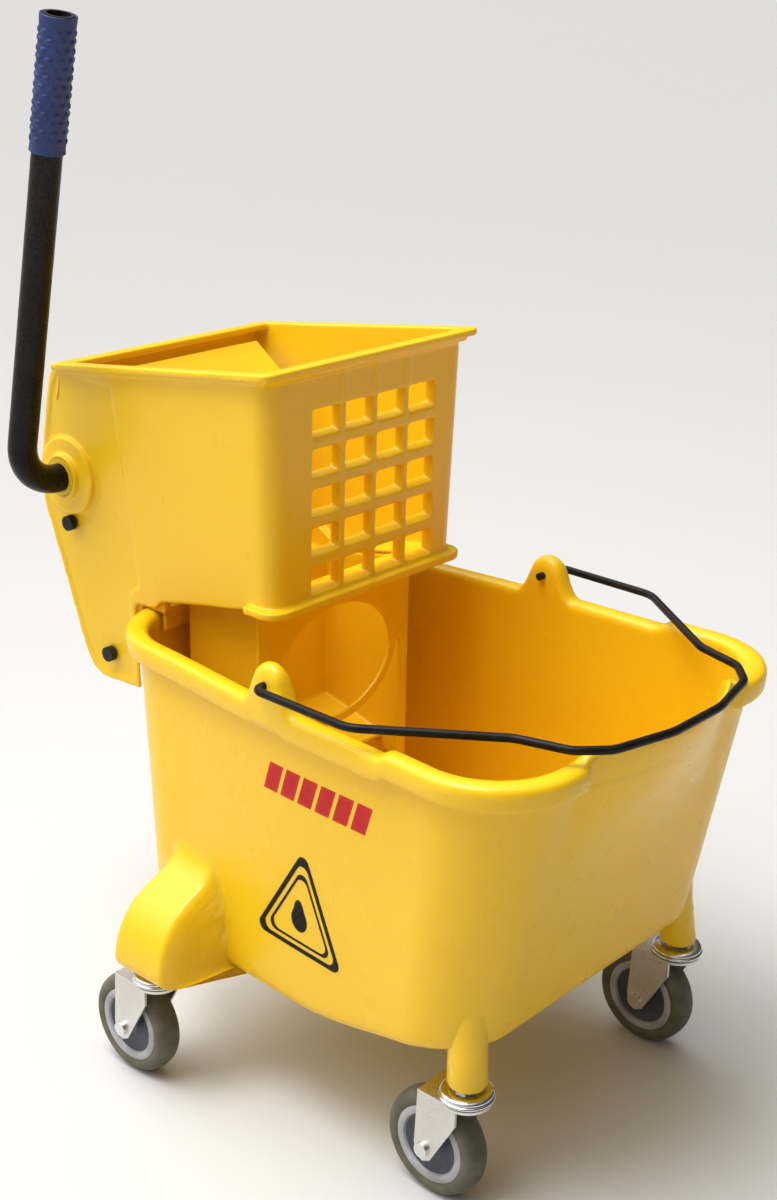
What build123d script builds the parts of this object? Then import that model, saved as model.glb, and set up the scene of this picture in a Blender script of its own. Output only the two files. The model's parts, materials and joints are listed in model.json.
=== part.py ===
"""Mop bucket on four casters with a side-press wringer.

Millimetres, +Z up, floor at z = 0. +X points from the wringer to the pouring end, -Y is the lever side.
Every separate piece of the object is one node, written to parts/NODE.step.
"""
from build123d import *
from math import acos, atan2, cos, degrees, hypot, pi, radians, sin, tan
import os

os.makedirs("parts", exist_ok=True)

SIDES = (-1, 1)

# ---- Bucket tub -------------------------------------------------------------------------------------
RIM_TOP = 394.0            # top of the rolled rim along the sides
HORN_TOP = 400.0           # top of the raised rim round the two front corners
HORN_RISE = 6.0            # how far the skirt's lower edge climbs with it
HORN_START = 110.0         # x where the rim starts to rise
HORN_FULL = 138.0          # x where it has reached full height
HORN_END = 104.0           # half width of the gap between the raised corners
LIP_TOP = 409.0            # edge of the pouring lip, which carries the resting bail
LIP_HALF = 100.0
LIP_REACH = 262.0
SKIRT = 20.0               # height of the rim's outer skirt
TUB_BOTTOM = 114.0
FRONT_RISE = 30.0          # how much higher the underside is at the front
TUB_FLOOR = 6.0
RIM_OUTER = dict(rear=-254, front=243, rear_half=166, front_half=206, radius=78)
RIM_INNER = dict(rear=-234, front=222, rear_half=149, front_half=185, radius=62)
WALL_TOP = dict(rear=-242, front=231, rear_half=156, front_half=194, radius=68)
WALL_BOTTOM = dict(rear=-213, front=182, rear_half=160, front_half=178, radius=58)
CAVITY_BOTTOM = dict(rear=-207, front=176, rear_half=154, front_half=172, radius=54)

EAR_X = -15.0
EAR_Z = 413.0              # height of the bail's pivot
EAR_RADIUS = 17.0
EAR_OUTER = 186.0
EAR_INNER = 165.0
EAR_BASE = 64.0

# ---- Casters ----------------------------------------------------------------------------------------
FRONT_CASTER = (175.0, 150.0)
REAR_CASTER = (-131.0, 208.0)
WHEEL_RADIUS = 46.8
WHEEL_WIDTH = 26.0
TRAIL = 28.6
LEG_BOTTOM = 114.0
LEG_RADIUS = 16.5
KINGPIN_RADIUS = 5.5
STEM_DEPTH = 34.0
AXLE_RADIUS = 4.0
RUNNING = 0.05             # radial running clearance of pins and shafts
FORK_TOP = 102.0
SHEET = 2.5                # thickness of the fork's steel
FORK_INSIDE = 34.0
RACE_RADIUS = 23.5

# ---- Bail -------------------------------------------------------------------------------------------
WIRE_RADIUS = 3.5
BAIL_HALF = 200.0

# ---- Wringer ----------------------------------------------------------------------------------------
SHAFT = (-340.0, 501.0)    # x, z of the lever's shaft
PIVOT = (-297.0, 336.0)    # x, z of the press plate's rod
STOP = (-341.0, 455.0)     # x, z of the stop rod
WRINGER_FRONT = -78.0
WALL = 4.0
HALF_LOW, HALF_HIGH = 110.0, 127.0      # outer half widths at LEVEL_LOW and LEVEL_HIGH
LEVEL_LOW, LEVEL_HIGH = 306.0, 656.0
CORNER = 18.0              # radius of the housing's front corners
FLARE_CORNER = 9.0         # and of the flange round its top
TOP_REAR = (-345.0, 606.0)
TOP_FRONT = (-78.0, 643.0)
LIP_Z = 433.0              # underside of the front wall's bottom lip
FLOOR_Z = 407.0            # underside of the hopper's floor at its rear
POCKET = 1.6               # depth of the recess in the side walls
FLARE = 8.0
BOSS_RADIUS = 36.0
COLLAR_RADIUS = 21.0

GRID_COLUMNS, GRID_ROWS = 4, 5
GRID_PITCH_Y, GRID_PITCH_Z = 40.0, 34.5
GRID_MIDDLE = 6.0          # y of the grid's middle
GRID_TOP = 590.0           # centre height of the top row
GRID_DEPTH = 12.0

BOX_FRONT, BOX_REAR, BOX_HALF = -115.0, -214.0, 90.0    # drain box under the hopper

PLATE_FRONT = -284.0
PLATE_THICK = 5.0
PLATE_HALF = 102.0
PLATE_TOP = 566.0
HOOD_END = (-326.0, 594.0)  # rear edge of the plate's sloping hood

MODULE = 5.0
PINION_TEETH = 14
BACKLASH = 1.2
PINION_Y = 88.0            # middle of each pinion and rack
PINION_WIDTH = 9.0
BOLT_ANGLE = 120.0         # degrees from +Z towards +X

LEVER_RADIUS = 13.0
LEVER_BORE = 10.0
LEVER_PLANE = 176.0
LEVER_LEAN = 11.75         # degrees forward of upright at rest
LEVER_BEND = 43.0
LEVER_TOP = 911.0
GRIP_LENGTH = 110.0
GRIP_THICK = 2.6
ROD_RADIUS = 5.0

parts = {}


def save(name, shape, colour):
    """Keep a finished piece under its node name."""
    shape.label = name
    shape.color = Color(colour)
    parts[name] = shape


def at(x, y, z):
    return Pos(x, y, z)


def bar_y(x, z, radius, low, high):
    """A round bar along Y."""
    return at(x, (low + high) / 2, z) * Rot(90, 0, 0) * Cylinder(radius, high - low)


def block(low, high):
    """A box between two corners."""
    middle = [(a + b) / 2 for a, b in zip(low, high)]
    return at(*middle) * Box(*[b - a for a, b in zip(low, high)])


def prism_y(points, low, high):
    """An outline of (x, z) points, extruded from y = low to y = high."""
    face = make_face(Polyline(*[(x, -z) for x, z in points], close=True))
    return at(0, low, 0) * Rot(-90, 0, 0) * extrude(face, high - low)


# ---- Bucket -----------------------------------------------------------------------------------------
def outline(z, rear, front, rear_half, front_half, radius):
    """The tub's plan at one level: a four-sided shape, wider at the front, with round corners."""
    corners = [(rear, -rear_half), (front, -front_half), (front, front_half), (rear, rear_half)]
    face = make_face(Polyline(*corners, close=True))
    return at(0, 0, z) * fillet(face.vertices(), radius)


def below_tub(rise):
    """Everything under the tub's bottom, which climbs towards the front; rise lifts it."""
    low = TUB_BOTTOM + rise
    line = [(-300, 0), (-300, low), (10, low), (60, low + 0.2 * FRONT_RISE),
            (115, low + 0.6 * FRONT_RISE), (165, low + FRONT_RISE), (300, low + FRONT_RISE), (300, 0)]
    return prism_y(line, -300, 300)


def rim():
    """Block for the rolled rim, raised round the front corners and open at the pouring lip."""
    low = RIM_TOP - SKIRT
    ring = extrude(outline(low, **RIM_OUTER), HORN_TOP - low)
    dip = [(-300, RIM_TOP), (HORN_START, RIM_TOP), (HORN_START + 8, RIM_TOP + 1.5),
           (HORN_FULL - 8, HORN_TOP - 1.5), (HORN_FULL, HORN_TOP), (HORN_FULL, HORN_TOP + 9), (-300, HORN_TOP + 9)]
    ring -= prism_y(dip, -300, 300)
    ring -= prism_y([(HORN_START, low), (HORN_FULL, low + HORN_RISE), (300, low + HORN_RISE), (300, low - 9),
                     (HORN_START, low - 9)], -300, 300)
    ring -= block((150, -HORN_END, RIM_TOP), (300, HORN_END, 500))
    ring -= block((WALL_TOP["front"] - 4, -LIP_HALF, 300), (300, LIP_HALF, 500))
    return ring


def pouring_lip():
    """The bulged top of the front wall between the raised corners."""
    def crescent(z, edge, reach):
        outer = ThreePointArc((edge, -LIP_HALF), (reach, 0), (edge, LIP_HALF))
        inner = ThreePointArc((edge - 5, -LIP_HALF), (reach - 5, 0), (edge - 5, LIP_HALF))
        ends = [Line(outer @ i, inner @ i) for i in (0, 1)]
        return at(0, 0, z) * make_face([outer, inner, *ends])
    return loft([crescent(326, 220, 224), crescent(LIP_TOP, 232, LIP_REACH)])


def ear(side):
    """Tab with the hole that the bail pivots in."""
    low = RIM_TOP - 12
    tab = make_face(Polyline((EAR_X - EAR_BASE / 2, -low), (EAR_X + EAR_BASE / 2, -low),
                             (EAR_X + EAR_RADIUS, -EAR_Z + 4), (EAR_X - EAR_RADIUS, -EAR_Z + 4), close=True))
    tab += Pos(EAR_X, -EAR_Z) * Circle(EAR_RADIUS)
    start = EAR_INNER if side > 0 else -EAR_OUTER
    return at(0, start, 0) * Rot(-90, 0, 0) * extrude(tab, EAR_OUTER - EAR_INNER)


def rear_foot(side):
    """Outrigger that carries a rear caster, swelling out of the side wall."""
    x, y = REAR_CASTER
    levels = [(0, 38, 27), (28, 37, 24), (56, 32, 12), (78, 24, -10)]   # height, half length, reach past axis
    wall_y = 150
    sections = []
    for height, half, reach in levels:
        depth = y + reach - wall_y
        shape = Rectangle(2 * half, depth)
        shape = fillet(shape.vertices(), min(half, depth / 2) * 0.8)
        sections.append(at(x + 3, side * (wall_y + depth / 2), LEG_BOTTOM + height) * shape)
    return loft(sections)


def front_leg(side):
    """Tapered column under a front corner."""
    x, y = FRONT_CASTER
    foot = at(x, side * y, LEG_BOTTOM) * Circle(LEG_RADIUS)
    head = at(x - 11, side * (y - 9), LEG_BOTTOM + 100) * Circle(LEG_RADIUS - 2)
    return loft([foot, head])


def bucket_tub():
    outer = loft([outline(TUB_BOTTOM, **WALL_BOTTOM), outline(RIM_TOP - 6, **WALL_TOP)]) - below_tub(0)
    supports = [rear_foot(side) for side in SIDES] + [front_leg(side) for side in SIDES]
    solid = outer + rim()
    for piece in supports:
        solid += piece
    skirt_level = RIM_TOP - SKIRT
    cavity = loft([outline(TUB_BOTTOM + TUB_FLOOR, **CAVITY_BOTTOM), outline(skirt_level, **RIM_INNER)])
    cavity += extrude(outline(skirt_level, **RIM_INNER), 80)
    solid -= cavity - below_tub(TUB_FLOOR)
    solid += pouring_lip()
    for side in SIDES:
        solid += ear(side)
    for side in SIDES:
        solid -= bar_y(EAR_X, EAR_Z, WIRE_RADIUS + RUNNING, side * 175 - 30, side * 175 + 30)
    for x, y in (FRONT_CASTER, REAR_CASTER):
        for side in SIDES:
            solid -= at(x, side * y, LEG_BOTTOM + STEM_DEPTH / 2) * Cylinder(KINGPIN_RADIUS, STEM_DEPTH)
    return solid


def bail_handle():
    """Bent wire with its two ends hooked through the ears."""
    half = [(EAR_X, EAR_INNER), (EAR_X, BAIL_HALF), (86, BAIL_HALF), (187, 126), (231, 113), (252, 90), (266, 32)]
    corners = [(x, -y, EAR_Z) for x, y in half] + [(x, y, EAR_Z) for x, y in reversed(half)]
    bends = [8, 30, 30, 25, 25, 60]
    path = FilletPolyline(*corners, radius=bends + bends[::-1])
    start = Plane(origin=path @ 0, z_dir=path % 0)
    return sweep(start * Circle(WIRE_RADIUS), path=path)


# ---- Casters ----------------------------------------------------------------------------------------
def caster(number, x, y):
    """One swivel caster, its wheel trailing towards -X."""
    axle_x = x - TRAIL
    tag = f"_{number}"

    hexagon = extrude(RegularPolygon(9, 6), LEG_BOTTOM - FORK_TOP - 7)
    stem = at(x, y, FORK_TOP + 7) * hexagon
    low, high = FORK_TOP - 5, LEG_BOTTOM + STEM_DEPTH
    stem += at(x, y, (low + high) / 2) * Cylinder(KINGPIN_RADIUS, high - low)
    stem += at(x, y, FORK_TOP - 4.4) * Cylinder(9, 2.4)
    save("caster_stem" + tag, stem, "silver")

    profile = [(KINGPIN_RADIUS, 0.3), (RACE_RADIUS - 3, 0.3), (RACE_RADIUS, 2.4), (RACE_RADIUS - 1.6, 4.6),
               (RACE_RADIUS - 0.4, 6.6), (RACE_RADIUS - 4, 9.0), (12, 9.0), (11, 7.0), (KINGPIN_RADIUS, 7.0)]
    race = revolve(Plane.XZ * make_face(Polyline(*profile, close=True)), Axis.Z)
    save("swivel_race" + tag, at(x, y, FORK_TOP) * race, "lightgray")

    top = Circle(RACE_RADIUS - 2) + Pos(-TRAIL / 2 - 3, 0) * Rectangle(TRAIL + 8, FORK_INSIDE + 2 * SHEET)
    fork = at(x, y, FORK_TOP - SHEET) * extrude(top, SHEET)
    leg = [(axle_x - 9, WHEEL_RADIUS + 4), (axle_x - 7, WHEEL_RADIUS - 7), (axle_x, WHEEL_RADIUS - 11),
           (axle_x + 8, WHEEL_RADIUS - 7), (x + 4, FORK_TOP - 18), (x + 4, FORK_TOP), (axle_x - 6.7, FORK_TOP)]
    for side in SIDES:
        inner = side * FORK_INSIDE / 2
        outer = inner + side * SHEET
        fork += at(0, y, 0) * prism_y(leg, min(inner, outer), max(inner, outer))
    fork -= at(x, y, FORK_TOP) * Cylinder(KINGPIN_RADIUS + RUNNING, 20)
    fork -= bar_y(axle_x, WHEEL_RADIUS, AXLE_RADIUS, y - 40, y + 40)
    save("caster_fork" + tag, fork, "gainsboro")

    reach = FORK_INSIDE / 2 + SHEET
    axle = bar_y(axle_x, WHEEL_RADIUS, AXLE_RADIUS, y - reach, y + reach)
    for side in SIDES:
        end = bar_y(axle_x, WHEEL_RADIUS, 6.5, y + side * (reach + 1.5) - 1.5, y + side * (reach + 1.5) + 1.5)
        axle += end
    save("caster_axle" + tag, axle, "silver")

    half = WHEEL_WIDTH / 2
    bore = AXLE_RADIUS + RUNNING
    core = [(bore, -16.5), (8, -16.5), (8, -5), (27, -5), (27, -half + 1.5), (34, -half + 1.5),
            (34, half - 1.5), (27, half - 1.5), (27, 5), (8, 5), (8, 16.5), (bore, 16.5)]
    spin = at(axle_x, y, WHEEL_RADIUS) * Rot(-90, 0, 0)
    save("wheel_core" + tag, spin * revolve(Plane.XZ * make_face(Polyline(*core, close=True)), Axis.Z), "gray")

    covers = [spin * at(0, 0, side * 6.5) * (Cylinder(27, 3) - Cylinder(8, 3)) for side in SIDES]
    save("hub_covers" + tag, Compound(covers), "slategray")

    tread = [(34, -half + 1), (39, -half), (43, -half + 2.2), (45.7, -half + 5.5), (WHEEL_RADIUS, -half + 10),
             (WHEEL_RADIUS, half - 10), (45.7, half - 5.5), (43, half - 2.2), (39, half), (34, half - 1)]
    save("tyre" + tag, spin * revolve(Plane.XZ * make_face(Polyline(*tread, close=True)), Axis.Z), "dimgray")


# ---- Wringer housing --------------------------------------------------------------------------------
def hopper(grow, low, high, radius=CORNER):
    """The hopper's rounded outer form, grown by a distance, between two levels."""
    sections = []
    for z in (low, high):
        share = (z - LEVEL_LOW) / (LEVEL_HIGH - LEVEL_LOW)
        half = HALF_LOW + share * (HALF_HIGH - HALF_LOW) + grow
        front = WRINGER_FRONT + grow
        face = make_face(Polyline((-420, -half), (front, -half), (front, half), (-420, half), close=True))
        corners = face.vertices().filter_by(lambda v: v.X > -400)
        sections.append(at(0, 0, z) * fillet(corners, max(radius + min(grow, 0), 4)))
    return loft(sections)


def floor_z(x):
    """Underside of the hopper's sloping floor, level with the side walls' bottom edge."""
    return FLOOR_Z + (x + 222) * (LIP_Z - FLOOR_Z) / (WRINGER_FRONT - 20 + 222)


def wall_half(z):
    """Outer half width of the hopper at a level."""
    return HALF_LOW + (z - LEVEL_LOW) / (LEVEL_HIGH - LEVEL_LOW) * (HALF_HIGH - HALF_LOW)


def side_profile():
    """Side view of the housing, with the arch that straddles the bucket's rear rim."""
    return [TOP_REAR, (-353, 602), (-362, 582), (-380, 511), (-382, 468), (-361, 405), (-338, 332), (-327, 313),
            (-313, 307), (-262, 310), (-261, 390), (-258, 396.5), (-250, 398), (-233, 398), (-222, FLOOR_Z),
            (WRINGER_FRONT - 20, LIP_Z), (WRINGER_FRONT + 20, LIP_Z), (WRINGER_FRONT + 20, TOP_FRONT[1]),
            TOP_FRONT]


def side_pocket():
    """Shallow recess in the rear part of both side walls, inside the housing's rear edge."""
    line = [(-343, 597), (-349, 594), (-357, 578), (-375, 511), (-377, 468), (-356, 405), (-333, 334), (-324, 318),
            (-313, 313), (-267, 316), (-267, 402), (-252, 414), (-258, 477), (-266, 540), (-272, 597)]
    return prism_y(line, -200, 200) - hopper(-POCKET, 299, 671)


def top_band(drop, thick):
    """A thin slice along the sloping top edge."""
    (x0, z0), (x1, z1) = TOP_REAR, TOP_FRONT
    x2, z2 = x1 + 20, z1
    points = [(x0, z0 - drop), (x1, z1 - drop), (x2, z2 - drop),
              (x2, z2 - drop - thick), (x1, z1 - drop - thick), (x0, z0 - drop - thick)]
    return prism_y(points, -200, 200)


def wringer_housing():
    form = hopper(0, 300, 670)
    shell = (form - hopper(-WALL, 299, 671)) & prism_y(side_profile(), -200, 200)

    shell += (hopper(FLARE, 300, 670, FLARE_CORNER) - hopper(-WALL, 299, 671)) & top_band(0, 6)
    shell += (hopper(FLARE / 2 - 0.5, 300, 670, FLARE_CORNER + 4) - hopper(-WALL, 299, 671)) & top_band(5, 6)
    shell -= side_pocket()
    ledge = (hopper(FLARE, 300, 670) - hopper(-WALL, 299, 671))
    shell += ledge & block((-108, -200, LIP_Z - 3), (0, 200, LIP_Z + 4))

    depth_face = WRINGER_FRONT - GRID_DEPTH
    grid_half = GRID_COLUMNS * GRID_PITCH_Y / 2
    grid_low = GRID_TOP - (GRID_ROWS - 0.5) * GRID_PITCH_Z
    thick = block((depth_face, GRID_MIDDLE - grid_half, grid_low),
                  (WRINGER_FRONT - 1, GRID_MIDDLE + grid_half, GRID_TOP + GRID_PITCH_Z / 2))
    shell += thick
    for column in range(GRID_COLUMNS):
        y = GRID_MIDDLE + (column - (GRID_COLUMNS - 1) / 2) * GRID_PITCH_Y
        for row in range(GRID_ROWS):
            z = GRID_TOP - row * GRID_PITCH_Z
            cell = [(depth_face - 9, z - 6), (WRINGER_FRONT + 9, z - 14), (WRINGER_FRONT + 9, z + 13),
                    (depth_face - 9, z + 13)]
            shell -= prism_y(cell, y - 17, y + 17)

    for column in range(1, GRID_COLUMNS):
        y = GRID_MIDDLE + (column - GRID_COLUMNS / 2) * GRID_PITCH_Y
        shell += block((WRINGER_FRONT - 1, y - 4, GRID_TOP + 15), (WRINGER_FRONT + 1.2, y + 4, TOP_FRONT[1] - 8))

    x, z = SHAFT
    half = wall_half(z)
    for side in SIDES:
        boss = bar_y(x, z, BOSS_RADIUS, *sorted((side * (half - WALL), side * (half + 5))))
        boss += bar_y(x, z, COLLAR_RADIUS, *sorted((side * half, side * (half + 11))))
        shell += boss & prism_y(side_profile(), -200, 200)
    for side in SIDES:
        hold = 17 if side < 0 else 14
        shell -= bar_y(x, z, hold, *sorted((side * 80, side * 140)))

    half_rail = wall_half(600) - WALL + 1
    shell += prism_y([TOP_REAR, (-327, 608.4), (-327, 602), (-345, 599.5)], -half_rail, half_rail)
    half_back = wall_half(326) - WALL + 1
    shell += prism_y([(-350, 400), (-346, 400), (-312, 324), (-316, 324)], -half_back, half_back)
    seat = RIM_TOP + 0.3
    saddle = [(-262, seat + 10), (-225, seat + 5), (-225, seat - 18), (-229, seat - 18), (-229, seat),
              (-257, seat), (-257, seat - 14), (-262, seat - 14)]
    shell += prism_y(saddle, -half_back, half_back)
    gusset = [(-262, seat), (-222, seat), (-222, seat + 18), (-243, seat + 30), (-262, seat + 30)]
    for side in SIDES:
        shell += prism_y(gusset, *sorted((side * (half_back - 4), side * (half_back + 3))))
    half_floor = wall_half(FLOOR_Z) - WALL + 1
    front_end = WRINGER_FRONT - WALL + 1
    floor = prism_y([(-222, floor_z(-222)), (-101, floor_z(-101)), (front_end, LIP_Z), (front_end, LIP_Z + WALL),
                     (-101, LIP_Z + WALL), (-222, floor_z(-222) + WALL)], -half_floor, half_floor)
    inside = BOX_HALF - WALL
    shell += floor - block((BOX_REAR + WALL, -inside, 400), (BOX_FRONT - WALL, inside, 450))

    for x, z in (PIVOT, STOP):
        shell -= bar_y(x, z, ROD_RADIUS, -200, 200)
    return shell


def drain_box():
    """Open box under the hopper, inside the bucket, with a large round opening in its front."""
    front, rear, half = BOX_FRONT, BOX_REAR, BOX_HALF
    roof, low = floor_z(BOX_FRONT - WALL), 258.0
    opening = (72.0, 54.0, 348.0)     # half width, half height, centre height
    panel_low = opening[2] - opening[1] - 8

    def oval(grow, z):
        shape = Ellipse(opening[0] + grow, opening[1] + grow)
        return at(front - 20, 0, z) * Rot(0, 90, 0) * Rot(0, 0, 90) * extrude(shape, 40)

    panel = block((front - WALL, -half, opening[2]), (front, half, roof))
    lower = block((front - WALL, -half, panel_low), (front, half, opening[2]))
    panel += lower & oval(9, opening[2])
    box = panel - oval(0, opening[2])
    box += block((rear, -half, low), (rear + WALL, half, floor_z(rear)))
    for side in SIDES:
        wall = sorted((side * (half - WALL), side * half))
        profile = [(rear, low), (front, low - 40), (front, roof), (front - WALL, roof), (rear, floor_z(rear))]
        box += prism_y(profile, *wall)
        flange = sorted((side * half, side * (half + 8)))
        box += block((front - WALL, flange[0], low - 40), (front, flange[1], LIP_Z - 5))
    box += prism_y([(rear, low), (rear, low + WALL), (front - 20, low - 20 + WALL), (front - 20, low - 20)],
                   -half, half)
    box += block((rear, -3, low), (rear + 14, 3, 401))
    return box


def housing_bushing(side):
    inner = LEVER_RADIUS if side < 0 else LEVER_BORE
    outer = inner + 4
    half = wall_half(SHAFT[1])
    ring = sorted((side * (half - WALL - 2), side * (half + 11)))
    return bar_y(*SHAFT, outer, *ring) - bar_y(*SHAFT, inner + RUNNING, *ring)


def rod_caps(x, z):
    """Two round black caps on the ends of a cross rod."""
    reach = wall_half(z)
    caps = []
    for side in SIDES:
        cap = bar_y(x, z, 7, *sorted((side * (reach + 0.4), side * (reach + 7))))
        caps.append(cap - bar_y(x, z, ROD_RADIUS, *sorted((side * reach, side * (reach + 4)))))
    return Compound(caps)


def cross_rod(x, z):
    reach = wall_half(z) + 4
    return bar_y(x, z, ROD_RADIUS, -reach, reach)


# ---- Lever and drive --------------------------------------------------------------------------------
CENTRES = hypot(SHAFT[0] - PIVOT[0], SHAFT[1] - PIVOT[1])
PINION_PITCH = MODULE * PINION_TEETH / 2
RACK_PITCH = CENTRES + PINION_PITCH
MESH_ANGLE = degrees(atan2(SHAFT[1] - PIVOT[1], SHAFT[0] - PIVOT[0]))
DRIVE_RATIO = PINION_PITCH / RACK_PITCH


def polar(radius, angle, centre=(0, 0)):
    return (centre[0] + radius * cos(radians(angle)), centre[1] + radius * sin(radians(angle)))


def involute(radius, base):
    """Angle in degrees that an involute has turned through at a radius."""
    pressure = acos(min(1, base / radius))
    return degrees(tan(pressure) - pressure)


def pinion_tooth(angle):
    """One involute tooth, as (x, z) points about the shaft."""
    base = PINION_PITCH * cos(radians(20))
    root, tip = PINION_PITCH - 1.3 * MODULE, PINION_PITCH + 0.9 * MODULE
    half = degrees((pi * MODULE / 2 - BACKLASH) / 2 / PINION_PITCH) + involute(PINION_PITCH, base)
    radii = [base + (tip - base) * step / 5 for step in range(6)]
    flank = [(root - 1, half)] + [(r, half - involute(r, base)) for r in radii]
    points = [polar(r, angle - a, SHAFT) for r, a in flank]
    return points + [polar(r, angle + a, SHAFT) for r, a in reversed(flank)]


def sector(centre, inner, outer, start, end, low, high):
    """Part of a flat ring about an axis along Y; angles run from +X towards +Z."""
    steps = max(2, int(abs(end - start) / 4))
    angles = [start + (end - start) * i / steps for i in range(steps + 1)]
    points = [polar(outer, a, centre) for a in angles] + [polar(inner, a, centre) for a in reversed(angles)]
    return prism_y(points, low, high)


def pinion(side):
    """Toothed sector on the shaft, with the finger that rests against the stop rod."""
    low, high = side * PINION_Y - PINION_WIDTH / 2, side * PINION_Y + PINION_WIDTH / 2
    root = PINION_PITCH - 1.3 * MODULE
    gear = bar_y(*SHAFT, 19, low, high)
    gear += sector(SHAFT, 15, root, MESH_ANGLE - 13, MESH_ANGLE + 92, low, high)
    for tooth in range(4):
        gear += prism_y(pinion_tooth(MESH_ANGLE + tooth * 360 / PINION_TEETH), low, high)
    rod_angle = degrees(atan2(STOP[1] - SHAFT[1], STOP[0] - SHAFT[0]))
    lean = rod_angle - 12.2
    finger = [(15, -4), (46, -4), (46, 4), (15, 4)]
    turned = [(SHAFT[0] + r * cos(radians(lean)) - o * sin(radians(lean)),
               SHAFT[1] + r * sin(radians(lean)) + o * cos(radians(lean))) for r, o in finger]
    gear += prism_y(turned, low, high)
    return gear - bar_y(*SHAFT, LEVER_BORE, low - 1, high + 1) - bolt_shank(side)


def bolt_shank(side):
    """Shank of the bolt that holds a pinion to the shaft, pointing forward and down."""
    return at(SHAFT[0], side * PINION_Y, SHAFT[1]) * Rot(0, BOLT_ANGLE, 0) * at(0, 0, 13) * Cylinder(2.5, 14)


def pinion_bolts():
    bolts = []
    for side in SIDES:
        head = at(SHAFT[0], side * PINION_Y, SHAFT[1]) * Rot(0, BOLT_ANGLE, 0) * at(0, 0, 21.4) * Cylinder(4, 3.6)
        bolts.append(bolt_shank(side) + head)
    return Compound(bolts)


def rack(side):
    """Curved internal rack behind the press plate, centred on the plate's pivot."""
    low, high = side * PINION_Y - PINION_WIDTH / 2 + 1, side * PINION_Y + PINION_WIDTH / 2 - 1
    pitch = degrees(MODULE * pi / RACK_PITCH)
    root, tip = RACK_PITCH + 1.3 * MODULE, RACK_PITCH - 0.9 * MODULE
    body = sector(PIVOT, root, root + 8, 86, MESH_ANGLE + 4 * pitch - 0.3 * pitch, low, high)
    body -= block((PLATE_FRONT - PLATE_THICK, low - 1, 400), (0, high + 1, 700))
    half = degrees((pi * MODULE / 2 - BACKLASH) / 2 / RACK_PITCH)
    slope = degrees(tan(radians(20)) / RACK_PITCH)
    for tooth in range(-1, 4):
        middle = MESH_ANGLE + (tooth + 0.5) * pitch
        wide = half + slope * (root - RACK_PITCH)
        narrow = half - slope * (RACK_PITCH - tip)
        points = [polar(root + 1, middle - wide, PIVOT), polar(tip, middle - narrow, PIVOT),
                  polar(tip, middle + narrow, PIVOT), polar(root + 1, middle + wide, PIVOT)]
        body += prism_y(points, low, high)
    return body


def press_plate():
    """Flat plate with a barrel on the pivot rod, stiffening ribs behind and a hood sloping up to the rear."""
    back = PLATE_FRONT - PLATE_THICK
    plate = block((back, -PLATE_HALF, PIVOT[1]), (PLATE_FRONT, PLATE_HALF, PLATE_TOP))
    plate += bar_y(*PIVOT, 10, -98, 98)
    for z in (391, 436, PLATE_TOP - 4):
        plate += block((back - 9, -PLATE_HALF, z - 2), (back, PLATE_HALF, z + 2))
    for y in (-60, -20, 20, 60):
        plate += block((back - 9, y - 2, 356), (back, y + 2, PLATE_TOP))
    x, z = HOOD_END
    plate += prism_y([(back, PLATE_TOP - 3), (PLATE_FRONT, PLATE_TOP - 4), (PLATE_FRONT, PLATE_TOP), (x + 2, z),
                      (x - 2, z - 4)], -PLATE_HALF, PLATE_HALF)
    return plate - bar_y(*PIVOT, ROD_RADIUS + RUNNING, -110, 110)


def lever_direction():
    lean = radians(LEVER_LEAN)
    return (sin(lean), 0, cos(lean))


def lever_point(height):
    """Point on the lever's straight part at a height z."""
    along = (height - SHAFT[1]) / cos(radians(LEVER_LEAN))
    return (SHAFT[0] + along * sin(radians(LEVER_LEAN)), -LEVER_PLANE, height)


def lever_tube():
    inside = (SHAFT[0], -97, SHAFT[1])
    path = FilletPolyline(inside, lever_point(SHAFT[1]), lever_point(LEVER_TOP - 3), radius=LEVER_BEND)
    start = Plane(origin=path @ 0, z_dir=path % 0)
    return sweep(start * (Circle(LEVER_RADIUS) - Circle(LEVER_BORE)), path=path)


def lever_grip():
    """Rubber sleeve over the lever's end."""
    top = Plane(origin=lever_point(LEVER_TOP - 3), z_dir=lever_direction())
    ring = Circle(LEVER_RADIUS + GRIP_THICK) - Circle(LEVER_RADIUS)
    return extrude(top * ring, -GRIP_LENGTH)


def drive_shaft():
    """Solid bar across the housing, pushed into the lever tube at its near end."""
    bar = bar_y(*SHAFT, LEVER_BORE, -LEVER_PLANE + LEVER_BEND + 2, wall_half(SHAFT[1]) + 9)
    return bar - bolt_shank(-1) - bolt_shank(1)


def return_spring(side):
    """Torsion spring round the shaft, its tail resting on the stop rod."""
    coil_radius, wire, turns = 17.0, 1.3, 3
    start = side * 94.6
    helix = Helix(pitch=3.2, height=3.2 * turns, radius=coil_radius)
    section = Plane(origin=helix @ 0, z_dir=helix % 0) * Circle(wire)
    coil = sweep(section, path=helix)
    turn = Rot(-90, 0, 0) if side > 0 else Rot(90, 0, 0)
    return at(SHAFT[0], start, SHAFT[1]) * turn * coil


# ---- Build and save ---------------------------------------------------------------------------------
save("bucket_tub", bucket_tub(), "gold")
save("bail_handle", bail_handle(), "black")
wheel_number = 0
for centre in (FRONT_CASTER, REAR_CASTER):
    for side in SIDES:
        wheel_number += 1
        caster(wheel_number, centre[0], side * centre[1])

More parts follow.
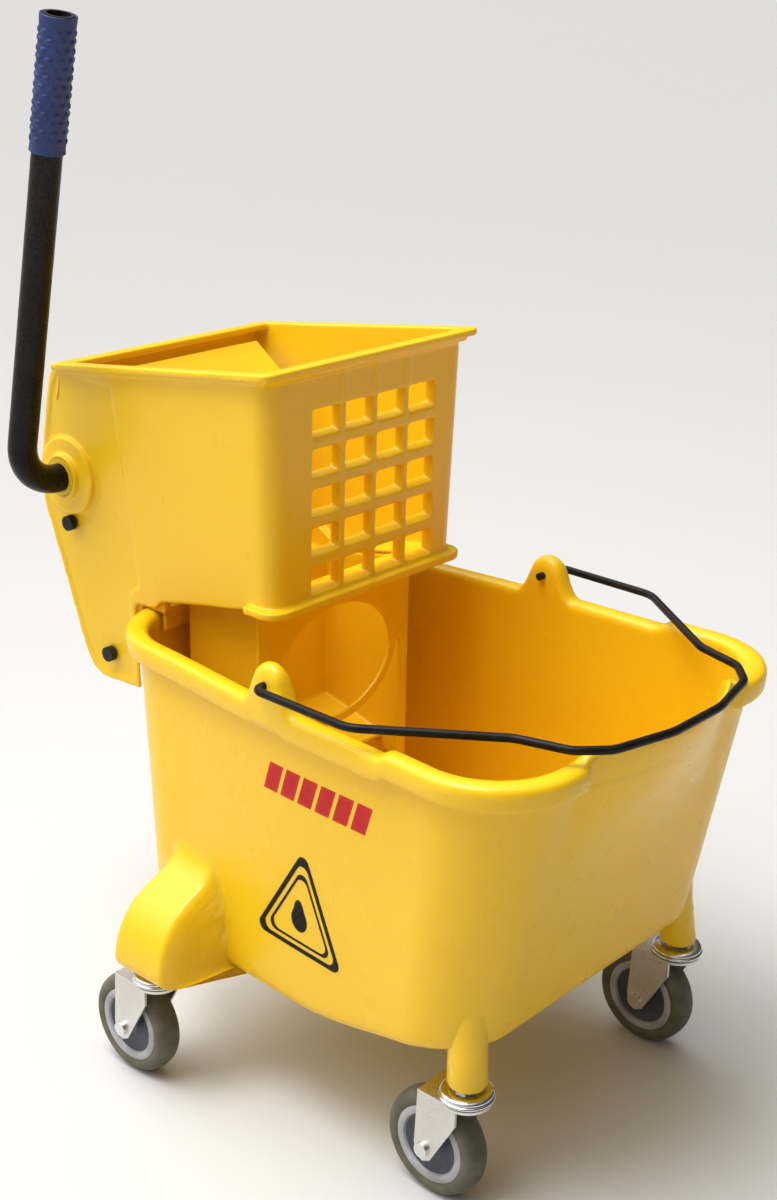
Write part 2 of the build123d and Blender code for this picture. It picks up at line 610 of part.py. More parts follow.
save("wringer_housing", wringer_housing(), "gold")
save("drain_box", drain_box(), "orange")
for side, name in zip(SIDES, ("near", "far")):
    save("shaft_bushing_" + name, housing_bushing(side), "white")
    save("pinion_" + name, pinion(side), "gray")
    save("rack_" + name, rack(side), "orange")
    save("return_spring_" + name, return_spring(side), "silver")
save("pivot_rod", cross_rod(*PIVOT), "silver")
save("pivot_rod_caps", rod_caps(*PIVOT), "black")
save("stop_rod", cross_rod(*STOP), "silver")
save("stop_rod_caps", rod_caps(*STOP), "black")
save("press_plate", press_plate(), "yellow")
save("drive_shaft", drive_shaft(), "silver")
save("pinion_bolts", pinion_bolts(), "silver")
save("lever_tube", lever_tube(), "black")
save("lever_grip", lever_grip(), "blue")

for name, shape in parts.items():
    export_step(shape, f"parts/{name}.step")
print(len(parts), "nodes, drive ratio", round(DRIVE_RATIO, 5))
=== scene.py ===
import bmesh
import bpy
import json
from math import acos, cos, hypot, pi, radians, sin, sqrt, tan
from mathutils import Matrix, Vector


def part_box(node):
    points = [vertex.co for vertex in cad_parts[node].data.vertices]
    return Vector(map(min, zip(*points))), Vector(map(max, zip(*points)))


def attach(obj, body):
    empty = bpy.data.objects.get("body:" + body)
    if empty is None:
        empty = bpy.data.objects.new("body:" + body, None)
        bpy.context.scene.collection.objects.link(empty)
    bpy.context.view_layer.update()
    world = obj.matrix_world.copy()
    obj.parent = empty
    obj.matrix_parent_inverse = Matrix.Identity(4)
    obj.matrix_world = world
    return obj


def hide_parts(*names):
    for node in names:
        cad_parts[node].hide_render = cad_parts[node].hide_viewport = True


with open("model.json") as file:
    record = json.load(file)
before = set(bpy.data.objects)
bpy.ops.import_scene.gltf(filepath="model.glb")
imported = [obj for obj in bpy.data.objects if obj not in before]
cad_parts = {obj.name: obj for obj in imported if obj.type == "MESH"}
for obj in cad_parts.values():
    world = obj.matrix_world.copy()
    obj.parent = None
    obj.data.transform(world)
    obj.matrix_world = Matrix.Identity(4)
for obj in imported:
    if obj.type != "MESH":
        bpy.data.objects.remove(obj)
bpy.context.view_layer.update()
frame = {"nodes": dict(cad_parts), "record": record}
MM = 0.001


# ---- Small helpers --------------------------------------------------------------------------------------
def clamp(value, low=0.0, high=1.0):
    return max(low, min(high, value))


def smooth(value, start, end):
    """Smooth step of value from start to end."""
    t = clamp((value - start) / (end - start))
    return t * t * (3 - 2 * t)


def mix(a, b, t):
    return a + (b - a) * t


def mix2(p, q, t):
    return tuple(mix(a, b, t) for a, b in zip(p, q))


def table(points, value):
    """Piecewise linear reading of (input, output) points."""
    if value <= points[0][0]:
        return points[0][1]
    for (a, fa), (b, fb) in zip(points, points[1:]):
        if value <= b:
            return mix(fa, fb, (value - a) / (b - a))
    return points[-1][1]


def build(name, points, faces, material, body, slot, replaced=(), sharp=40):
    """Make one piece from millimetre points, give it its material and let it ride."""
    mesh = bpy.data.meshes.new(name)
    mesh.from_pydata([(x * MM, y * MM, z * MM) for x, y, z in points], [], faces)
    work = bmesh.new()
    work.from_mesh(mesh)
    bmesh.ops.remove_doubles(work, verts=work.verts, dist=1e-6)
    bmesh.ops.recalc_face_normals(work, faces=work.faces)
    work.to_mesh(mesh)
    work.free()
    piece = bpy.data.objects.new(name, mesh)
    bpy.context.scene.collection.objects.link(piece)
    mesh.materials.append(material)
    for face in piece.data.polygons:
        face.use_smooth = True
    piece.data.set_sharp_from_angle(angle=radians(sharp))
    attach(piece, body)
    if replaced:
        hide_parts(*replaced)
    return piece


def apply_modifiers(piece):
    """Turn a piece's modifiers into its own mesh."""
    bpy.context.view_layer.update()
    graph = bpy.context.evaluated_depsgraph_get()
    mesh = bpy.data.meshes.new_from_object(piece.evaluated_get(graph))
    piece.modifiers.clear()
    piece.data = mesh


def join(parts):
    """Put several (points, faces) parts in one."""
    points, faces = [], []
    for more_points, more_faces in parts:
        start = len(points)
        points += more_points
        faces += [tuple(start + i for i in face) for face in more_faces]
    return points, faces


def lathe(profile, centre, axis="Y", turns=64, closed=True):
    """Revolve (radius, along) points about an axis through centre."""
    points, faces = [], []
    for i in range(turns):
        angle = 2 * pi * i / turns
        for radius, along in profile:
            u, v = radius * cos(angle), radius * sin(angle)
            x, y, z = (u, along, v) if axis == "Y" else (u, v, along)
            points.append((centre[0] + x, centre[1] + y, centre[2] + z))
    count = len(profile)
    last = count if closed else count - 1
    for i in range(turns):
        for j in range(last):
            a, b = i * count + j, i * count + (j + 1) % count
            c, d = ((i + 1) % turns) * count + (j + 1) % count, ((i + 1) % turns) * count + j
            faces.append((a, b, c, d))
    return points, faces


# ---- Materials ------------------------------------------------------------------------------------------
class Shader:
    """A Principled material under construction, with textures laid out in the object's own metres."""

    def __init__(self, name, colour, roughness, **sockets):
        self.material = bpy.data.materials.new(name)
        self.material.use_nodes = True
        self.tree = self.material.node_tree
        self.bsdf = self.tree.nodes["Principled BSDF"]
        self.bsdf.inputs["Base Color"].default_value = (*colour, 1)
        self.bsdf.inputs["Roughness"].default_value = roughness
        for key, value in sockets.items():
            self.bsdf.inputs[key.replace("_", " ")].default_value = value
        self.where = self.node("ShaderNodeTexCoord").outputs["Object"]

    def node(self, kind, **settings):
        made = self.tree.nodes.new(kind)
        for key, value in settings.items():
            setattr(made, key, value)
        return made

    def link(self, source, target):
        self.tree.links.new(source, target)

    def noise(self, scale, detail=3.0):
        texture = self.node("ShaderNodeTexNoise")
        texture.inputs["Scale"].default_value = scale
        texture.inputs["Detail"].default_value = detail
        texture.inputs["Roughness"].default_value = 0.5
        self.link(self.where, texture.inputs["Vector"])
        return texture.outputs["Fac"]

    def ramp(self, source, low, high, a, b):
        """Map source from low..high to a..b."""
        made = self.node("ShaderNodeMapRange")
        for key, value in (("From Min", low), ("From Max", high), ("To Min", a), ("To Max", b)):
            made.inputs[key].default_value = value
        self.link(source, made.inputs["Value"])
        return made.outputs["Result"]

    def blend(self, first, second, factor):
        made = self.node("ShaderNodeMix", data_type="RGBA")
        self.link(factor, made.inputs["Factor"])
        for value, socket in ((first, made.inputs["A"]), (second, made.inputs["B"])):
            if isinstance(value, tuple):
                socket.default_value = (*value, 1)
            else:
                self.link(value, socket)
        return made.outputs["Result"]

    def maths(self, operation, first, second):
        made = self.node("ShaderNodeMath", operation=operation)
        for value, socket in ((first, made.inputs[0]), (second, made.inputs[1])):
            if isinstance(value, (int, float)):
                socket.default_value = value
            else:
                self.link(value, socket)
        return made.outputs["Value"]

    def edges(self, low=0.53, high=0.6):
        """1 on convex edges, 0 elsewhere."""
        return self.ramp(self.node("ShaderNodeNewGeometry").outputs["Pointiness"], low, high, 0, 1)

    def set(self, colour=None, roughness=None, bump=None, strength=0.2, distance=0.001):
        if colour is not None:
            self.link(colour, self.bsdf.inputs["Base Color"])
        if roughness is not None:
            self.link(roughness, self.bsdf.inputs["Roughness"])
        if bump is not None:
            made = self.node("ShaderNodeBump")
            made.inputs["Strength"].default_value = strength
            made.inputs["Distance"].default_value = distance
            self.link(bump, made.inputs["Height"])
            self.link(made.outputs["Normal"], self.bsdf.inputs["Normal"])
        return self.material


def plastic(name, light, deep, roughness=0.3, glow=0.12):
    """Injection-moulded polypropylene: satin, slightly translucent, with faint mould texture and scuffs."""
    s = Shader(name, light, roughness, IOR=1.49, Subsurface_Weight=glow, Subsurface_Scale=0.012,
               Subsurface_Radius=(1.0, 0.42, 0.08), Specular_IOR_Level=0.42)
    cloud = s.ramp(s.noise(7, 3), 0.35, 0.65, 0, 1)
    colour = s.blend(light, deep, cloud)
    wear = s.maths("MULTIPLY", s.edges(0.56, 0.72), s.ramp(s.noise(60, 4), 0.4, 0.7, 0, 0.12))
    colour = s.blend(colour, tuple(min(1, c * 1.1 + 0.02) for c in light), wear)
    gloss = s.ramp(s.noise(38, 4), 0.3, 0.7, roughness - 0.05, roughness + 0.07)
    return s.set(colour, gloss, s.maths("ADD", s.noise(1500, 2), s.maths("MULTIPLY", s.noise(26, 2), 2.5)),
                 0.09, 0.0005)


# ---- Materials, one per slot ----------------------------------------------------------------------------
YELLOW = (0.89, 0.56, 0.009)
YELLOW_DEEP = (0.88, 0.545, 0.008)
bucket_plastic = plastic("bucket_yellow", YELLOW, YELLOW_DEEP)
wringer_plastic = plastic("wringer_yellow", YELLOW, YELLOW_DEEP, 0.32)


def metal(name, colour, roughness, grain=0.05, spots=0.0):
    """Bare or plated metal with a cloudy grain, dull spots, and convex edges lightened both as wear and as a
    painted edge highlight.
    """
    s = Shader(name, colour, roughness, Metallic=1.0)
    dull = tuple(c * 0.72 for c in colour)
    tint = s.blend(colour, dull, s.ramp(s.noise(220, 5), 0.35, 0.75, 0, 0.8))
    if spots:
        tint = s.blend(tint, (0.20, 0.19, 0.17), s.ramp(s.noise(420, 4), 0.66, 0.74, 0, spots))
    # painted highlight: every convex edge is lightened towards a brighter tint to stand in for edge glints;
    # it also reads as wear
    tint = s.blend(tint, tuple(min(1, c * 1.2) for c in colour), s.edges())
    return s.set(tint, s.ramp(s.noise(300, 4), 0.3, 0.7, roughness - grain, roughness + grain),
                 s.noise(900, 3), 0.12, 0.0003)


def solid(name, colour, roughness, vary=0.25, bump=0.15, scale=160, **sockets):
    """Paint, rubber or print: mottled, with convex edges lightened, partly as patchy wear and partly as a
    painted edge highlight.
    """
    s = Shader(name, colour, roughness, **sockets)
    dark = tuple(c * (1 - vary) for c in colour)
    light = tuple(min(1, c * (1 + vary) + 0.004) for c in colour)
    tint = s.blend(dark, light, s.ramp(s.noise(scale / 3, 4), 0.3, 0.7, 0, 1))
    # painted highlight on all convex edges (at least 0.1 everywhere), with patchy wear from the noise on top
    tint = s.blend(tint, tuple(min(1, c * 1.5 + 0.03) for c in colour),
                   s.maths("MULTIPLY", s.edges(), s.ramp(s.noise(scale * 2), 0.4, 0.7, 0.1, 0.6)))
    return s.set(tint, s.ramp(s.noise(scale, 4), 0.3, 0.7, roughness - 0.06, roughness + 0.08),
                 s.noise(scale * 5, 3), bump, 0.0004)


MATERIALS = {
    "bucket_plastic": bucket_plastic,
    "wringer_plastic": wringer_plastic,
    "bail_wire": solid("bail_black", (0.008, 0.007, 0.006), 0.34, Specular_IOR_Level=0.14),
    "bright_steel": metal("bright_steel", (0.62, 0.62, 0.61), 0.24, spots=0.3),
    "chrome_race": metal("chrome", (0.66, 0.68, 0.70), 0.10, 0.03),
    "zinc_steel": metal("zinc_plate", (0.58, 0.56, 0.53), 0.34, 0.1, spots=0.6),
    "wheel_core": solid("wheel_grey", (0.36, 0.36, 0.37), 0.5),
    "hub_cover": solid("hub_blue_grey", (0.045, 0.05, 0.075), 0.45),
    "tyre_rubber": solid("tyre_olive_grey", (0.105, 0.095, 0.06), 0.62, 0.3, 0.3),
    "bushing_plastic": plastic("bushing_yellow", YELLOW, YELLOW_DEEP, 0.36),
    "cast_zinc": metal("cast_zinc", (0.42, 0.42, 0.42), 0.5, 0.08, spots=0.3),
    "black_plastic": solid("cap_black", (0.008, 0.007, 0.007), 0.45, Specular_IOR_Level=0.14),
    "lever_paint": solid("lever_black", (0.005, 0.004, 0.004), 0.3, 0.3, 0.06, Specular_IOR_Level=0.14),
    "grip_rubber": solid("grip_blue", (0.010, 0.026, 0.13), 0.5, 0.2, 0.2),
}
for entry in frame["record"]["subparts"]:
    node = frame["nodes"][entry["node"]]
    node.data.materials.clear()
    node.data.materials.append(MATERIALS[entry["material_slot"]])

# ---- Bucket tub -----------------------------------------------------------------------------------------
RIM_TOP, RIM_SKIRT, TUB_LOW, FRONT_RISE, FLOOR = 394.0, 20.0, 114.0, 30.0, 6.0
HORN_START, HORN_RISE = 107.0, 6.0
LIP_TOP, LIP_HALF, LIP_BULGE, INNER_LIP = 409.0, 100.0, 30.0, 386.0
EAR_X, EAR_Z, EAR_RADIUS = -15.0, 413.0, 17.5
EAR_ROUND, EAR_FILLET = 15.5, 17.0       # where the round top ends, and the hollow fillet beside it
FOOT_X, FOOT_Y = -131.0, 208.0
LEG_X, LEG_Y = 175.0, 150.0
PLANS = {       # rear x, front x, rear half width, front half width, corner radius, bow of the long sides
    "rim_outer": (-254, 243, 166, 206, 78, 4),
    "rim_inner": (-234, 222, 149, 185, 62, 4),
    "wall_top": (-242, 231, 156, 194, 68, 4),
    "wall_low": (-213, 182, 160, 178, 58, 1),
    "cavity_low": (-207, 176, 154, 172, 54, 1),
}
SIDE_COUNT, FRONT_COUNT, REAR_COUNT, CORNER_COUNT = 104, 44, 30, 14


def plan(rear, front, rear_half, front_half, radius, bow):
    """Points round a four-sided shape with round corners, the same count for every plan."""
    corners = [Vector((rear, -rear_half)), Vector((front, -front_half)),
               Vector((front, front_half)), Vector((rear, rear_half))]
    arcs = []
    for i, corner in enumerate(corners):
        before = (corners[i - 1] - corner).normalized()
        after = (corners[(i + 1) % 4] - corner).normalized()
        half_angle = acos(clamp(before.dot(after), -1, 1)) / 2
        reach = radius / tan(half_angle)
        centre = corner + (before + after).normalized() * (radius / sin(half_angle))
        start, end = corner + before * reach - centre, corner + after * reach - centre
        turn = start.angle_signed(end)
        arc = []
        for k in range(CORNER_COUNT + 1):
            angle = -turn * k / CORNER_COUNT
            arc.append(centre + Matrix.Rotation(angle, 2) @ start)
        arcs.append(arc)
    points = []
    for i, count in ((0, SIDE_COUNT), (1, FRONT_COUNT), (2, SIDE_COUNT), (3, REAR_COUNT)):
        a, b = arcs[i][-1], arcs[(i + 1) % 4][0]
        out = Vector(((b - a).y, -(b - a).x)).normalized()
        bulge = bow if i in (0, 2) else 0
        for k in range(count):
            t = k / count
            points.append(a + (b - a) * t + out * bulge * sin(pi * t) ** 2)
        points += arcs[(i + 1) % 4][:-1]
    return points


RIM_OUT, RIM_IN, WALL_TOP, WALL_LOW, CAVITY = (plan(*measures) for measures in PLANS.values())
COLUMNS = len(RIM_OUT)


def tub_underside(x):
    return TUB_LOW + FRONT_RISE * smooth(x, 0, 185)


def horn(x):
    return HORN_RISE * smooth(x, HORN_START, HORN_START + 14)


def ear_height(x):
    """How far the ear stands above the rim at x."""
    away = abs(x - EAR_X)
    base = EAR_Z - RIM_TOP
    if away <= EAR_ROUND:
        return base + sqrt(EAR_RADIUS ** 2 - away ** 2)
    start = base + sqrt(EAR_RADIUS ** 2 - EAR_ROUND ** 2)
    return start * (1 - clamp((away - EAR_ROUND) / EAR_FILLET)) ** 2.2


def lip_share(x, y):
    """1 in the pouring lip, 0 in the rim."""
    if x < 150:
        return 0.0
    return 1 - smooth(abs(y), LIP_HALF - 7, LIP_HALF + 6)


def lip_bulge(y, z):
    across = max(0.0, 1 - (y / (LIP_HALF + 2)) ** 2)
    return LIP_BULGE * across * smooth(z, 250, LIP_TOP) ** 1.5


FOOT_REACH = [(-1, 27), (10, 26.5), (28, 24), (45, 18), (58, 8), (70, -8), (82, -24), (96, -40)]
FOOT_HALF = [(0, 41), (30, 40), (60, 36), (80, 30), (96, 24)]


def foot_bulge(x, z, y_wall):
    """How far the outrigger over a rear caster stands out of the side wall."""
    height = z - TUB_LOW
    reach = table(FOOT_REACH, height)
    target = FOOT_Y + reach
    half = table(FOOT_HALF, height)
    away = abs(x - FOOT_X - 3) / half
    edge = clamp(1.25 - away * 1.25)
    profile = 1 - (1 - min(1.0, edge * 2.6)) ** 2.4 if edge < 1 / 2.6 else 1.0
    tail = clamp(1 - (height - 70) / 26)
    return max(0.0, (target - y_wall)) * profile * tail


def wall_point(column, z):
    """Outer wall at a level, with its feet and the lip's bulge."""
    t = (z - TUB_LOW) / (RIM_TOP - 6 - TUB_LOW)
    x, y = mix2(WALL_LOW[column], WALL_TOP[column], t)
    if 0.35 < t:
        x += lip_bulge(y, z) * lip_share(x + 60, y) if x > 150 else 0
    side = 1 if y > 0 else -1
    if FOOT_X - 60 < x < FOOT_X + 66 and z < TUB_LOW + 97 and abs(y) > 100:
        y += side * foot_bulge(x, z, abs(y))
    return x, y


# Rim: share of the way from its outer to its inner edge, and height from its top.
# Lip: depth into the wall, and height above the floor.
RIM_SECTION = [(0.55, -20.0), (0.22, -20.4), (0.07, -19.6), (0.03, -17.4), (0.015, -13.5), (0.0, -9.5),
               (0.0, -6.2), (0.05, -3.0), (0.15, -1.1), (0.32, -0.15), (0.52, 0.0), (0.72, -0.5),
               (0.88, -2.0), (0.97, -4.4), (1.0, -7.5), (1.0, -13.0)]
LIP_SECTION = [(0, 376), (0, 379), (0, 382), (0, 385), (0, 388), (0, 392), (0, 396), (0, 400), (0.1, 404),
               (0.6, 406.8), (1.8, 408.8), (3.2, 409), (4.5, 407.6), (5, 404.5), (5, 400), (5, 394)]
FLOOR_ROUND, BASE_ROUND = 16.0, 12.0    # radius at the foot of the wall, inside and outside


def tub_rows(column):
    """The tub's section at one column, from the middle of the underside round to the middle of the floor."""
    ox, oy = RIM_OUT[column]
    ix, iy = RIM_IN[column]
    share = lip_share(ox, oy)
    rise = horn(ox)
    long_side = abs(oy) > 150 and abs(ox - EAR_X) < 60
    ear = ear_height(ox) if long_side else 0.0
    skirt_low = RIM_TOP - RIM_SKIRT + rise
    top = RIM_TOP + rise + ear
    rows = []
    # underside
    base_x, base_y = wall_point(column, tub_underside(WALL_LOW[column].x))
    middle = (0.0, 0.0)
    bottom = tub_underside(base_x)
    for share_out in (0.03, 0.25, 0.5, 0.72, 0.88):
        x, y = mix2(middle, (base_x, base_y), share_out)
        rows.append((x, y, tub_underside(x)))
    for step in range(5):
        angle = pi / 2 * step / 4
        inset = BASE_ROUND * (1 - sin(angle))
        z = bottom + BASE_ROUND * (1 - cos(angle))
        x, y = wall_point(column, z)
        length = max(1e-6, hypot(x, y))
        k = 1 - inset / length
        rows.append((x * k, y * k, z))
    # outer wall
    low_z, high_z = bottom + BASE_ROUND, skirt_low - 1
    for step in range(1, 27):
        z = mix(low_z, high_z, step / 26)
        x, y = wall_point(column, z)
        rows.append((x, y, z))
    # rim or lip
    for (across, drop), (depth, lip_z) in zip(RIM_SECTION, LIP_SECTION):
        x, y = mix2((ox, oy), (ix, iy), across)
        z = top + drop if not ear else skirt_low + (RIM_SKIRT + drop) * (1 + ear / RIM_SKIRT)
        lx, ly = wall_point(column, lip_z)
        lx -= depth
        rows.append(tuple(mix(a, b, share) for a, b in zip((x, y, z), (lx, ly, lip_z))))
    # inner wall
    inner_bottom = tub_underside(CAVITY[column].x) + FLOOR
    start_z = mix(RIM_TOP - RIM_SKIRT + rise, INNER_LIP, share)
    for step in range(1, 23):
        z = mix(start_z, inner_bottom + FLOOR_ROUND, step / 22)
        t = clamp((z - TUB_LOW - FLOOR) / (RIM_TOP - RIM_SKIRT - TUB_LOW - FLOOR))
        x, y = mix2(CAVITY[column], (ix, iy), t)
        if x > 120:
            x += (lip_bulge(y, z) + 4 * smooth(z, 330, LIP_TOP)) * share
        rows.append((x, y, z))
    x0, y0 = rows[-1][:2]
    for step in range(1, 5):
        angle = pi / 2 * step / 4
        k = 1 - FLOOR_ROUND * (1 - cos(angle)) / max(1e-6, hypot(x0, y0))
        rows.append((x0 * k, y0 * k, inner_bottom + FLOOR_ROUND * (1 - sin(angle))))
    x1, y1, z1 = rows[-1]
    for share_in in (0.88, 0.7, 0.45, 0.2, 0.03):
        x, y = x1 * share_in, y1 * share_in
        rows.append((x, y, tub_underside(x) + FLOOR))
    return rows


def tub():
    """The whole moulding, closed at the middle of its underside and of its floor."""
    sections = [tub_rows(column) for column in range(COLUMNS)]
    count = len(sections[0])
    points = [p for section in sections for p in section]
    faces = []
    for i in range(COLUMNS):
        for j in range(count - 1):
            a, b = i * count + j, i * count + j + 1
            c, d = ((i + 1) % COLUMNS) * count + j + 1, ((i + 1) % COLUMNS) * count + j
            faces.append((a, b, c, d))
    faces.append(tuple(i * count for i in range(COLUMNS)))
    faces.append(tuple(i * count + count - 1 for i in reversed(range(COLUMNS))))
    return points, faces


LEG = [(0.1, 0), (12, 0), (15.2, 0.8), (16.5, 3.0), (16.3, 30), (16.6, 50), (19, 75), (22, 100), (0.1, 101)]


def front_leg(side):
    """Tapered column under a front corner."""
    points, faces = lathe(LEG, (0, 0, 0), "Z", 40, closed=False)
    placed = []
    for x, y, z in points:
        lean = z / 100
        placed.append((x + LEG_X - 11 * lean, y + side * (LEG_Y - 9 * lean), z + TUB_LOW))
    return placed, faces


build("tub", *tub(), MATERIALS["bucket_plastic"], "bucket", "bucket_plastic", ("bucket_tub",), sharp=50)
for side, name in ((-1, "near"), (1, "far")):
    build("front_leg_" + name, *front_leg(side), MATERIALS["bucket_plastic"], "bucket", "bucket_plastic",
          sharp=50)


# ---- Printed marks on the near side ---------------------------------------------------------------------
NEAR_SIDE = [column for column in range(COLUMNS)
             if WALL_TOP[column].y < -140 and abs(WALL_TOP[column].x) < 175]
MARK_OUT, MARK_IN = 0.3, 0.3            # how far a mark stands out of the wall and reaches into it


def near_wall(x, z):
    """The y of the near wall's outer face."""
    line = sorted(wall_point(column, z) for column in NEAR_SIDE)
    for (xa, ya), (xb, yb) in zip(line, line[1:]):
        if x <= xb:
            return mix(ya, yb, (x - xa) / (xb - xa))
    return line[-1][1]


def printed(place, around, across, loop):
    """A thin printed shape that follows the wall; place(u, v) gives its x and z."""
    stations = around if loop else around + 1
    points = []
    for i in range(stations):
        for j in range(across + 1):
            x, z = place(i / around, j / across)
            y = near_wall(x, z)
            points += [(x, y - MARK_OUT, z), (x, y + MARK_IN, z)]
    width = across + 1
    faces = []
    for i in range(around):
        n = (i + 1) % stations
        for j in range(across):
            a, b = 2 * (i * width + j), 2 * (i * width + j + 1)
            c, d = 2 * (n * width + j + 1), 2 * (n * width + j)
            faces += [(a, b, c, d), (a + 1, d + 1, c + 1, b + 1)]
        for j in (0, across):
            a, d = 2 * (i * width + j), 2 * (n * width + j)
            faces.append((a, a + 1, d + 1, d))
    if not loop:
        for i in (0, around):
            for j in range(across):
                a, b = 2 * (i * width + j), 2 * (i * width + j + 1)
                faces.append((a, b, b + 1, a + 1))
    return points, faces


STRAIGHT = 0.6                          # share of a printed side's points that lies on its straight part


def rounded(corners, radius, u, inset):
    """A point at share u round a triangle with round corners, set in by inset."""
    middle = sum(corners, Vector((0, 0))) / 3
    which, t = int(u * 3) % 3, u * 3 % 1
    a, b, c = (corners[(which + k) % 3] for k in range(3))

    def core(point, one, two):
        bisector = ((one - point).normalized() + (two - point).normalized()).normalized()
        return point + bisector * (inset + radius) / sin((one - point).angle(bisector))

    def outward(one, two):
        across = Vector(((two - one).y, -(two - one).x)).normalized()
        return across if across.dot((one + two) / 2 - middle) >= 0 else -across

    start, end, following = core(a, b, c), core(b, c, a), core(c, a, b)
    out = outward(start, end)
    if t < STRAIGHT:
        return start + (end - start) * (t / STRAIGHT) + out * radius
    turn = out.angle_signed(outward(end, following)) * (t - STRAIGHT) / (1 - STRAIGHT)
    return end + Matrix.Rotation(-turn, 2) @ out * radius


SIGN = [Vector((18, 275)), Vector((-46, 176)), Vector((60, 173))]
SIGN_ROUND = 7.0
DROP_X, DROP_Z, DROP_RADIUS = 10, 205, 11
BAR_WIDTH, BAR_HEIGHT, BAR_SLANT, BAR_LOW, BAR_STEP, BAR_FIRST = 16, 26, 9, 315, 20.5, -30


def sign_line(inset, width):
    """One closed line of the rounded triangle."""
    def place(u, v):
        return tuple(rounded(SIGN, SIGN_ROUND, u, inset + width * v))
    return printed(place, 120, 2, True)


def droplet(u, v):
    """A water drop, from its middle (v = 0) to its edge (v = 1)."""
    angle = 2 * pi * u
    reach = DROP_RADIUS * (1 + 0.75 * clamp(cos(angle)) ** 9) * max(v, 0.02)
    return DROP_X + reach * sin(angle) * 0.85, DROP_Z + reach * cos(angle)


def slanted(left):
    """One slanted bar of the red row."""
    def place(u, v):
        x = left + BAR_WIDTH * u
        return x + BAR_SLANT * v, BAR_LOW + BAR_HEIGHT * v + 0.012 * x
    return printed(place, 6, 4, False)


black_print = solid("print_black", (0.006, 0.005, 0.004), 0.55, 0.3, 0.1, Specular_IOR_Level=0.15)
red_print = solid("print_red", (0.50, 0.012, 0.012), 0.5, 0.12, 0.1, Specular_IOR_Level=0.2)
build("slip_sign", *join([sign_line(0.0, 4.2), sign_line(8.0, 2.2), printed(droplet, 48, 5, True)]),
      black_print, "bucket", "bucket_plastic", sharp=30)
build("red_bars", *join([slanted(BAR_FIRST + BAR_STEP * k) for k in range(6)]),
      red_print, "bucket", "bucket_plastic", sharp=30)

# ---- Wringer --------------------------------------------------------------------------------------------
VOXEL, RELAX_ROUNDS, KEEP_SHARE = 1.3, 6, 0.35


def soften(name, node, slot):
    """One moulded piece of the wringer with rounded edges, made from the shape of a CAD node."""
    work = bmesh.new()
    work.from_mesh(frame["nodes"][node].data)
    mesh = bpy.data.meshes.new(name)
    work.to_mesh(mesh)
    work.free()
    mesh.materials.clear()
    mesh.materials.append(MATERIALS[slot])
    piece = bpy.data.objects.new(name, mesh)
    bpy.context.scene.collection.objects.link(piece)
    remesh = piece.modifiers.new("remesh", "REMESH")
    remesh.mode, remesh.voxel_size, remesh.adaptivity = "VOXEL", VOXEL * MM, 0
    relax = piece.modifiers.new("relax", "SMOOTH")
    relax.factor, relax.iterations = 0.5, RELAX_ROUNDS
    piece.modifiers.new("fewer", "DECIMATE").ratio = KEEP_SHARE
    apply_modifiers(piece)
    for face in piece.data.polygons:
        face.use_smooth = True
    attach(piece, "wringer")
    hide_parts(node)


soften("hopper_shell", "wringer_housing", "wringer_plastic")
soften("drain_chute", "drain_box", "wringer_plastic")

APRON_HALF = 122.5
APRON = [(-345.5, 601), (-347, 592), (-349, 581), (-352, 571), (-350.2, 570.4), (-346.9, 580.5),
         (-344.8, 591.5), (-343.3, 601)]


def rear_apron():
    """Strip that hangs from the rear top edge and closes the view behind the press plate's hood."""
    points, faces = [], []
    stations = 24
    for i in range(stations + 1):
        y = -APRON_HALF + 2 * APRON_HALF * i / stations
        points += [(x, y, z) for x, z in APRON]
    count = len(APRON)
    for i in range(stations):
        for j in range(count):
            a, b = i * count + j, i * count + (j + 1) % count
            faces.append((a, b, b + count, a + count))
    faces += [tuple(range(count)), tuple(range(stations * count + count - 1, stations * count - 1, -1))]
    return points, faces


build("rear_apron", *rear_apron(), MATERIALS["wringer_plastic"], "wringer", "wringer_plastic")

# ---- Casters --------------------------------------------------------------------------------------------
# Sections of the turned parts: radius, and place along the axis.
TYRE = [(33.6, -10.5), (35, -11.8), (38, -12.6), (41, -12.2), (43.6, -10.6), (45.4, -8.2), (46.4, -5.2),
        (46.8, -2), (46.8, 2), (46.4, 5.2), (45.4, 8.2), (43.6, 10.6), (41, 12.2), (38, 12.6),
        (35, 11.8), (33.6, 10.5)]
RING = [(26.8, -10.6), (27.6, -11.6), (29.5, -12.1), (32.5, -12.1), (33.9, -11.2), (33.9, 11.2),
        (32.5, 12.1), (29.5, 12.1), (27.6, 11.6), (26.8, 10.6), (26.4, 4.5), (9, 4.5), (8, 5.2),
        (8, 16), (7.4, 16.4), (4.06, 16.4), (4.06, -16.4), (7.4, -16.4), (8, -16), (8, -5.2), (9, -4.5),
        (26.4, -4.5)]
HUB = [(26.5, 4.6), (26.5, 9.4), (25.4, 9.2), (23.5, 7.8), (20, 7), (14, 6.8), (11, 7.6), (8.2, 9),
       (8.2, 4.6)]
RACE = [(5.7, 0.4), (12, 0.3), (17, 0.5), (21, 0.9), (22.9, 1.9), (23.4, 3), (22.7, 4.1), (21.6, 4.5),
        (21.9, 5), (22.3, 5.9), (21.9, 7.1), (20.3, 8.2), (17.5, 8.9), (14, 9), (12.4, 8.6),
        (11.4, 7.6), (9, 7.1), (5.7, 7)]
